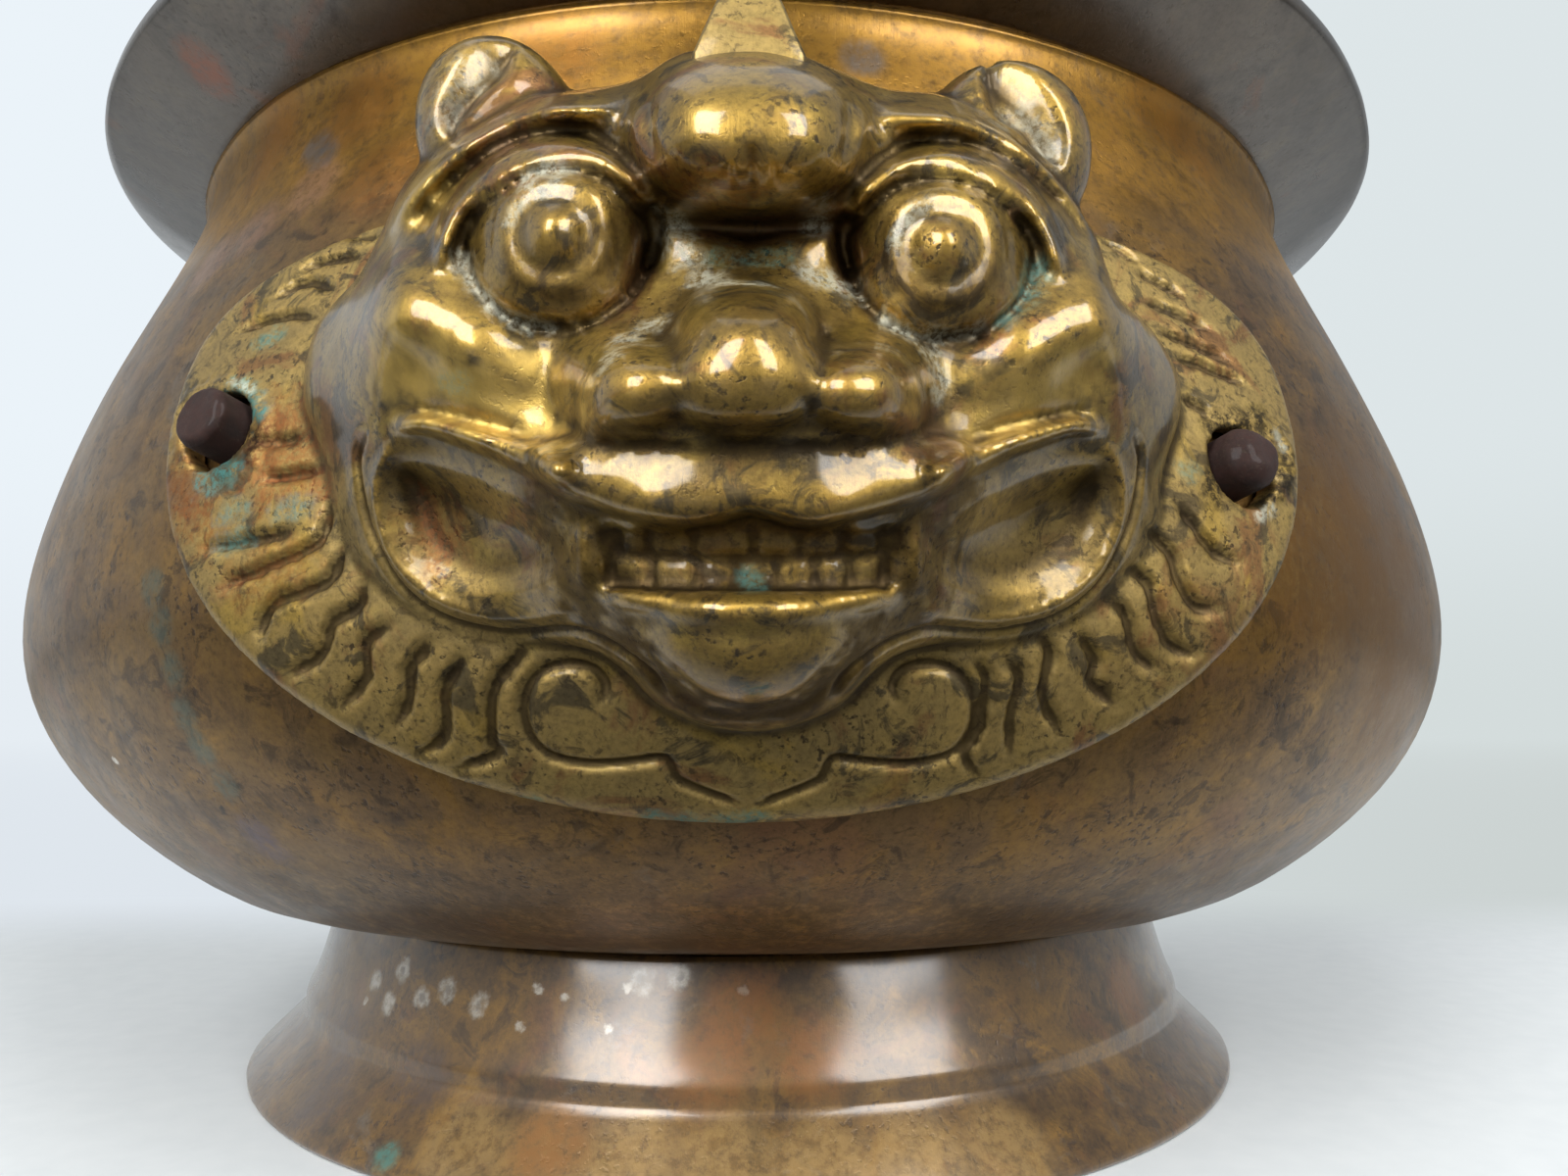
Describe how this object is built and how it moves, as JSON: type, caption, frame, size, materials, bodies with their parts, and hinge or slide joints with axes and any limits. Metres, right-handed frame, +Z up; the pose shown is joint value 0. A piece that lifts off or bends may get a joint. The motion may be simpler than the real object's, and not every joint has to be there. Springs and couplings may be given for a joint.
{
  "type": "censer",
  "caption": "Round bulging bronze censer with a flared lip, a splayed foot ring and a horned beast mask riveted on each side.",
  "frame": {"origin": "centre of the foot ring's rest face, on the surface it stands on", "axes": "+Z up along the vessel's axis; -Y towards the front mask, +Y towards the rear mask"},
  "size_m": [0.2286, 0.2906, 0.146],
  "materials": {
    "bowl_bronze": "worn brown patina over bronze, mottled, satin",
    "lip_bronze": "dark brown-grey patina with a thin polished edge",
    "foot_bronze": "brown patina with pale grey spots and a few green stains",
    "mask_bronze": "rubbed golden bronze on the high places, dark in the hollows",
    "horn_bronze": "rubbed golden bronze with pale worn edges",
    "rivet_copper": "very dark red-brown, glossy at the rounded end"
  },
  "bodies": {
    "root": {"bowl": "bowl_bronze", "rim_lip": "lip_bronze", "foot_ring": "foot_bronze", "front_mask": "mask_bronze", "rear_mask": "mask_bronze", "front_horn": "horn_bronze", "rear_horn": "horn_bronze", "front_left_rivet": "rivet_copper", "front_right_rivet": "rivet_copper", "rear_left_rivet": "rivet_copper", "rear_right_rivet": "rivet_copper"}
  },
  "joints": []
}
